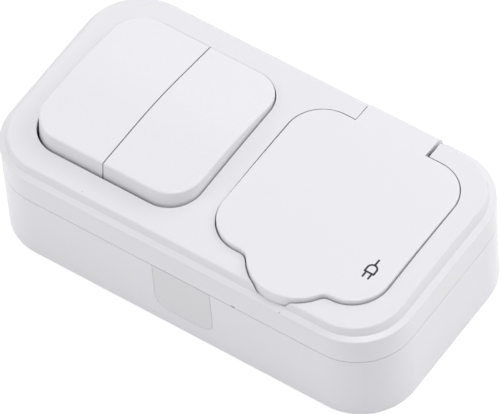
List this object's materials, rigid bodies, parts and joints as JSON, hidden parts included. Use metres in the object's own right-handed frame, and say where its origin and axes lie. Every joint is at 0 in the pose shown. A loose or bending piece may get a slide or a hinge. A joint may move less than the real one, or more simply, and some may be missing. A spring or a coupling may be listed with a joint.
{
  "type": "switch and socket combination",
  "caption": "Surface-mounted white switch and socket combination: side-by-side rocker switches and an earthed socket under a hinged lid.",
  "frame": {"origin": "centre of the flat back face", "axes": "+X along the housing from the switches to the socket, +Y towards the lid's hinge, +Z out of the wall"},
  "size_m": [0.156, 0.0844, 0.0499],
  "materials": {
    "housing_white": "smooth, slightly glossy white moulding",
    "insert_white": "smooth, slightly greyer white moulding",
    "key_white": "smooth glossy white key",
    "lid_white": "smooth glossy white lid",
    "well_white": "smooth white socket face",
    "mechanism_grey": "matt light grey moulding",
    "cradle_grey": "matt mid grey moulding",
    "plunger_white": "matt low-friction moulding",
    "spring_steel": "bright drawn wire",
    "pin_steel": "bright turned pin",
    "contact_brass": "stamped brass",
    "earth_strip": "plated spring strip",
    "screw_steel": "zinc-plated steel"
  },
  "bodies": {
    "housing": {"back_box": "housing_white", "cable_entry_insert": "insert_white", "cover_frame": "housing_white", "switch_base": "mechanism_grey", "common_terminal": "contact_brass", "switched_contact_left": "contact_brass", "switched_contact_right": "contact_brass", "switch_terminal_screws": "screw_steel", "socket_well": "well_white", "socket_base": "mechanism_grey", "pin_contact_left": "contact_brass", "pin_contact_right": "contact_brass", "earth_clip": "earth_strip", "socket_terminal_screws": "screw_steel", "socket_centre_screw": "screw_steel", "mechanism_screws": "screw_steel", "cover_screws": "screw_steel", "hinge_pin": "pin_steel", "lid_spring": "spring_steel"},
    "key_left": {"rocker_left": "key_white", "cradle_left": "cradle_grey", "plunger_left": "plunger_white", "plunger_spring_left": "spring_steel"},
    "key_right": {"rocker_right": "key_white", "cradle_right": "cradle_grey", "plunger_right": "plunger_white", "plunger_spring_right": "spring_steel"},
    "contact_left": {"seesaw_left": "contact_brass"},
    "contact_right": {"seesaw_right": "contact_brass"},
    "lid_body": {"lid": "lid_white"}
  },
  "joints": [
    {"name": "rocker_left_tilt", "type": "hinge", "parent": "housing", "child": "key_left", "pos_m": [-0.05092, 0.0005, 0.0386], "axis": [1, 0, 0], "range_deg": [0, 10]},
    {"name": "rocker_right_tilt", "type": "hinge", "parent": "housing", "child": "key_right", "pos_m": [-0.01988, 0.0005, 0.0386], "axis": [1, 0, 0], "range_deg": [0, 10]},
    {"name": "contact_left_tilt", "type": "hinge", "parent": "housing", "child": "contact_left", "pos_m": [-0.05092, 0.0005, 0.0192], "axis": [1, 0, 0], "range_deg": [-16, 0]},
    {"name": "contact_right_tilt", "type": "hinge", "parent": "housing", "child": "contact_right", "pos_m": [-0.01988, 0.0005, 0.0192], "axis": [1, 0, 0], "range_deg": [-16, 0]},
    {"name": "lid_hinge", "type": "hinge", "parent": "housing", "child": "lid_body", "pos_m": [0.0354, 0.0384, 0.04], "axis": [-1, 0, 0], "range_deg": [0, 110], "stiffness_Nm_per_rad": 0.01, "springref_deg": -34.38}
  ],
  "couplings": [
    {"joint": "contact_left_tilt", "follows": "rocker_left_tilt", "ratio": -1.6},
    {"joint": "contact_right_tilt", "follows": "rocker_right_tilt", "ratio": -1.6}
  ]
}
